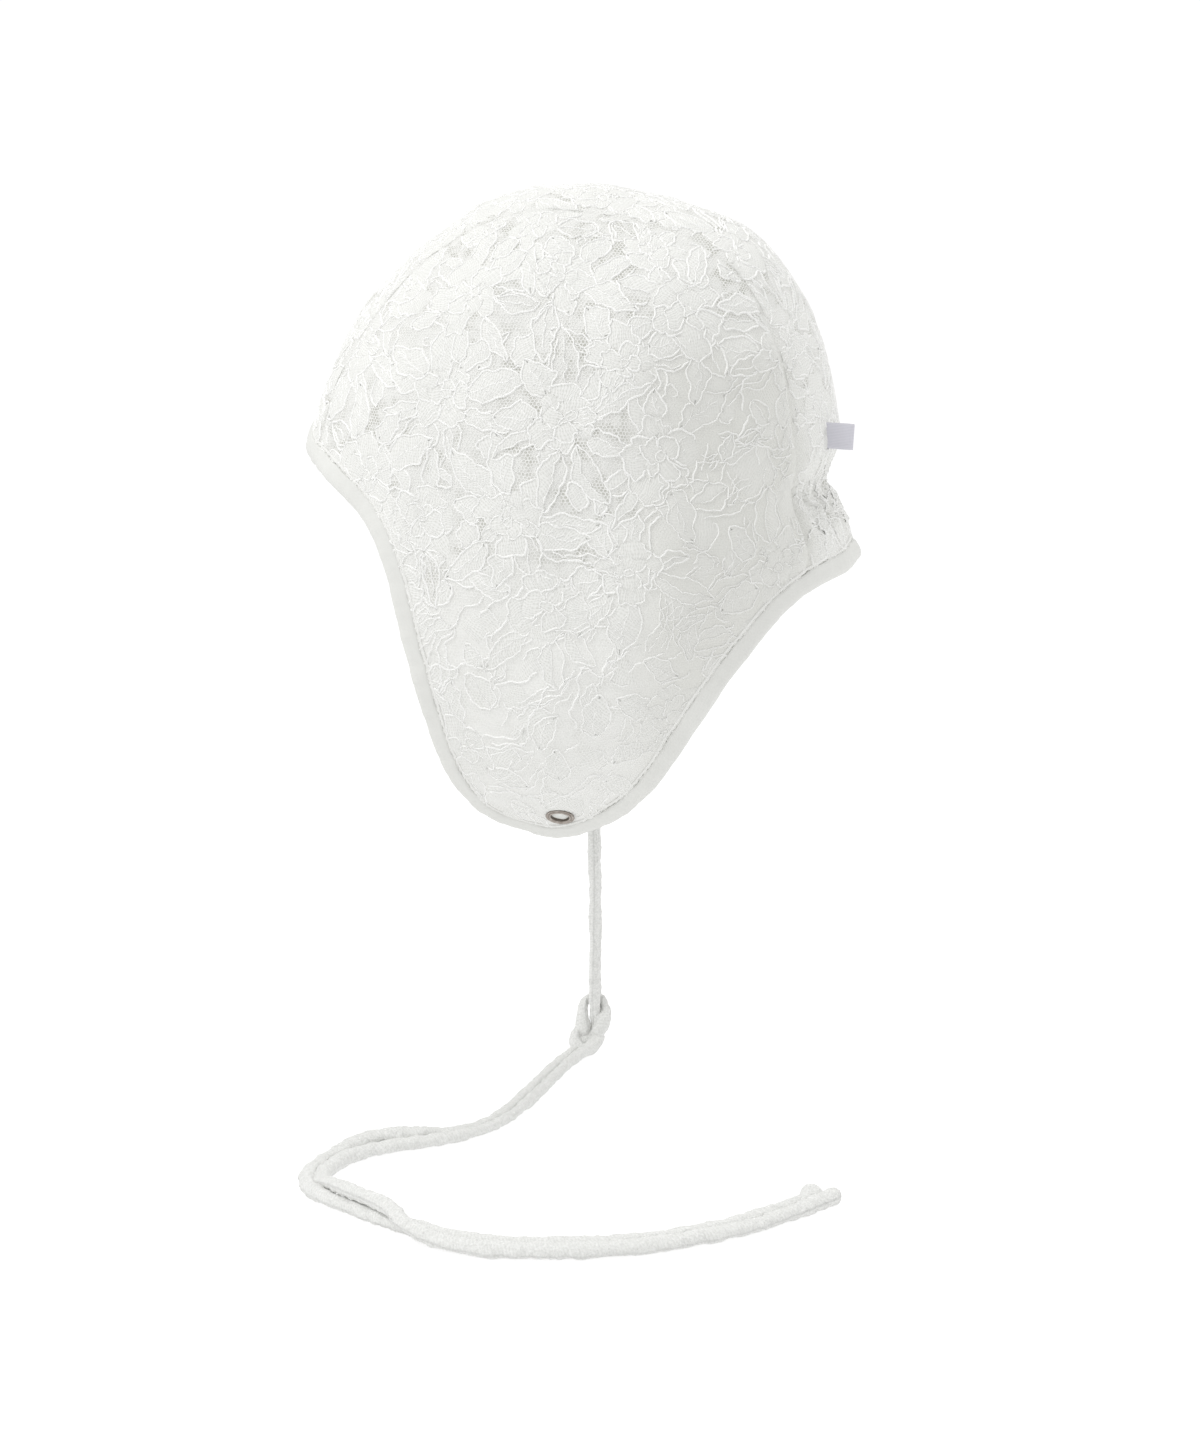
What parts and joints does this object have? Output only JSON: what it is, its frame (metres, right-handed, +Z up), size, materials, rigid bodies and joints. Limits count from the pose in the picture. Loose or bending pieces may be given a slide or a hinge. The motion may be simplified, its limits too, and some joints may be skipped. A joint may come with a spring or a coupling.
{
  "type": "aviator hat",
  "caption": "Soft baby's hat with long ear flaps, lace over a smooth lining, bound edge, gathered nape, metal eyelets and a knotted tie.",
  "frame": {"origin": "the top of the hollow on the middle plane, where the crown of the head meets the lining", "axes": "+Z up, -Y the way the face looks, +X towards the wearer's left"},
  "size_m": [0.2271, 0.1663, 0.2699],
  "materials": {
    "lace": "openwork floral lace",
    "lining": "smooth plain weave",
    "binding": "folded tape, matt",
    "steel": "satin",
    "label": "satin ribbon",
    "cord": "knitted, matt"
  },
  "bodies": {
    "root": {"centre_strip": "lace", "side_panel_left": "lace", "side_panel_right": "lace", "lining": "lining", "binding": "binding", "eyelet_left": "steel", "eyelet_right": "steel", "label_tag": "label", "tie_cord_upper": "cord", "tie_knot": "cord", "tie_cord_end_a": "cord", "tie_cord_end_b": "cord"}
  },
  "joints": []
}
